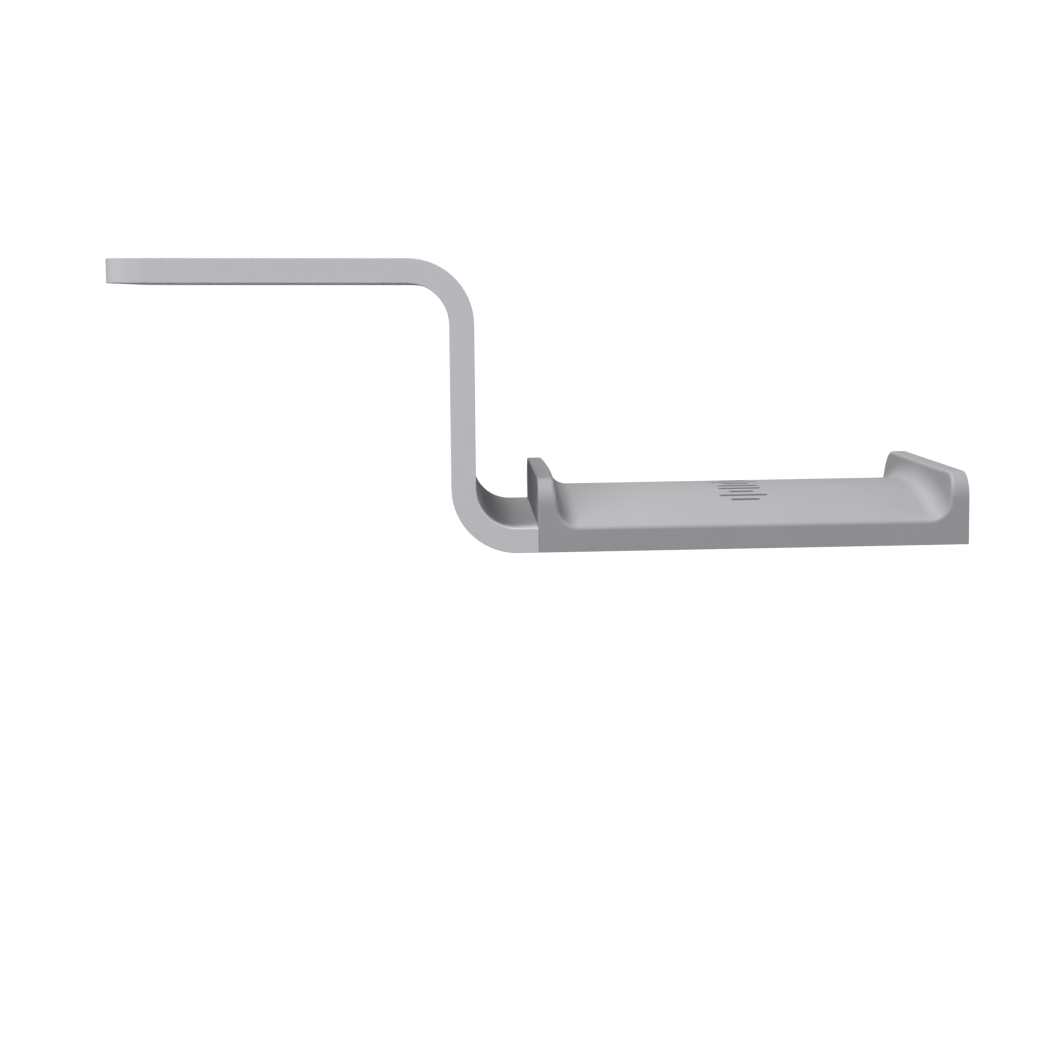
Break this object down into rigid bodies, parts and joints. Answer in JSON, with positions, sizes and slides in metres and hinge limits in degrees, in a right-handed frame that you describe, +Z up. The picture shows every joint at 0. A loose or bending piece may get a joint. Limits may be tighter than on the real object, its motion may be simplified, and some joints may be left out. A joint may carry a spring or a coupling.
{
  "type": "headphone hook",
  "caption": "Under-desk headphone hook: a bent metal Z bracket with an arched moulded cradle between upright lips.",
  "frame": {"origin": "middle of the flat top face of the flange, the face that sits against the underside of the desk", "axes": "+Z up, out of the flange's top face towards the desk; +X along the hook from the flange towards the tip of the cradle; Y across the width"},
  "size_m": [0.105, 0.037, 0.0356],
  "materials": {
    "bracket_paint": "fine matte silver-grey powder coat",
    "cradle_plastic": "matte mid grey moulded plastic",
    "screw_steel": "zinc-plated, satin",
    "insert_brass": "machined"
  },
  "bodies": {
    "root": {"z_bracket": "bracket_paint", "cradle": "cradle_plastic", "cradle_screw_1": "screw_steel", "cradle_screw_2": "screw_steel", "cradle_screw_3": "screw_steel", "threaded_insert_1": "insert_brass", "threaded_insert_2": "insert_brass", "threaded_insert_3": "insert_brass"}
  },
  "joints": []
}
